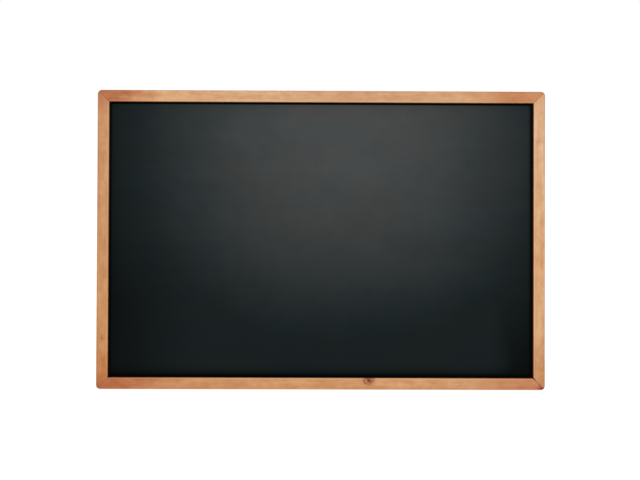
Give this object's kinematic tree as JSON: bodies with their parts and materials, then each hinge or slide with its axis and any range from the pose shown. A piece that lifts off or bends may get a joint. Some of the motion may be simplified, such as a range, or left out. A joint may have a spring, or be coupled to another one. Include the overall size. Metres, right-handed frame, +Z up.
{
  "type": "menu chalkboard easel",
  "caption": "Framed landscape chalkboard in a slim mitred wooden frame, standing on a counter on a hinged rear easel strut, with hangers for a wall.",
  "frame": {"origin": "middle of the footprint, on the surface that the board stands on", "axes": "+Z up, +X to the right along the board's long side, +Y towards the back, so that the writing face looks towards -Y and leans back by 15 degrees"},
  "size_m": [0.6, 0.1648, 0.3901],
  "materials": {
    "frame_wood": "honey-stained pine with a thin satin varnish",
    "chalk_coat": "hardboard with matte black chalkboard paint and a trace of wiped chalk",
    "backing": "bare brown hardboard",
    "strut_wood": "unstained sanded pine",
    "zinc_steel": "bright zinc plate",
    "nickel_steel": "nickel plate",
    "black_rubber": "matte black rubber"
  },
  "bodies": {
    "board": {"rail_top": "frame_wood", "rail_bottom": "frame_wood", "rail_left": "frame_wood", "rail_right": "frame_wood", "writing_panel": "chalk_coat", "backing_board": "backing", "v_nail_top_left_1": "zinc_steel", "v_nail_top_left_2": "zinc_steel", "v_nail_top_right_1": "zinc_steel", "v_nail_top_right_2": "zinc_steel", "v_nail_bottom_left_1": "zinc_steel", "v_nail_bottom_left_2": "zinc_steel", "v_nail_bottom_right_1": "zinc_steel", "v_nail_bottom_right_2": "zinc_steel", "turn_button_screw_top_left": "zinc_steel", "turn_button_screw_top_right": "zinc_steel", "turn_button_screw_bottom_left": "zinc_steel", "turn_button_screw_bottom_right": "zinc_steel", "turn_button_screw_left": "zinc_steel", "turn_button_screw_right": "zinc_steel", "hanger_strap_left": "nickel_steel", "hanger_strap_right": "nickel_steel", "hanger_screw_left": "zinc_steel", "hanger_screw_right": "zinc_steel", "wall_bumper_top_left": "black_rubber", "wall_bumper_top_right": "black_rubber", "wall_bumper_bottom_left": "black_rubber", "wall_bumper_bottom_right": "black_rubber", "hinge_base_plate": "zinc_steel", "hinge_screw_1": "zinc_steel", "hinge_screw_2": "zinc_steel", "hinge_screw_3": "zinc_steel", "hinge_screw_4": "zinc_steel", "hinge_pin": "zinc_steel"},
    "strut": {"hinge_strut_plate": "zinc_steel", "strut": "strut_wood", "strut_rivet_upper": "nickel_steel", "strut_rivet_lower": "nickel_steel", "strut_foot_pad": "black_rubber"},
    "ring_left": {"d_ring_left": "nickel_steel"},
    "ring_right": {"d_ring_right": "nickel_steel"},
    "button_top_left": {"turn_button_top_left": "zinc_steel"},
    "button_top_right": {"turn_button_top_right": "zinc_steel"},
    "button_bottom_left": {"turn_button_bottom_left": "zinc_steel"},
    "button_bottom_right": {"turn_button_bottom_right": "zinc_steel"},
    "button_left": {"turn_button_left": "zinc_steel"},
    "button_right": {"turn_button_right": "zinc_steel"}
  },
  "joints": [
    {"name": "strut_fold", "type": "hinge", "parent": "board", "child": "strut", "pos_m": [0, 0.01225, 0.27374], "axis": [-1, 0, 0], "range_deg": [0, 28]},
    {"name": "ring_left_swing", "type": "hinge", "parent": "board", "child": "ring_left", "pos_m": [-0.2932, 0.0143, 0.29493], "axis": [1, 0, 0], "range_deg": [-12, 165]},
    {"name": "ring_right_swing", "type": "hinge", "parent": "board", "child": "ring_right", "pos_m": [0.2932, 0.0143, 0.29493], "axis": [1, 0, 0], "range_deg": [-12, 165]},
    {"name": "button_top_left_turn", "type": "hinge", "parent": "board", "child": "button_top_left", "pos_m": [-0.15, 0.03508, 0.38098], "axis": [0, 0.9659, -0.2588], "continuous": true},
    {"name": "button_top_right_turn", "type": "hinge", "parent": "board", "child": "button_top_right", "pos_m": [0.15, 0.03508, 0.38098], "axis": [0, 0.9659, -0.2588], "continuous": true},
    {"name": "button_left_turn", "type": "hinge", "parent": "board", "child": "button_left", "pos_m": [-0.2945, -0.01526, 0.19311], "axis": [0, 0.9659, -0.2588], "continuous": true},
    {"name": "button_right_turn", "type": "hinge", "parent": "board", "child": "button_right", "pos_m": [0.2945, -0.01526, 0.19311], "axis": [0, 0.9659, -0.2588], "continuous": true},
    {"name": "button_bottom_left_turn", "type": "hinge", "parent": "board", "child": "button_bottom_left", "pos_m": [-0.15, -0.0656, 0.00524], "axis": [0, 0.9659, -0.2588], "range_deg": [-95, 95]},
    {"name": "button_bottom_right_turn", "type": "hinge", "parent": "board", "child": "button_bottom_right", "pos_m": [0.15, -0.0656, 0.00524], "axis": [0, 0.9659, -0.2588], "range_deg": [-95, 95]}
  ]
}
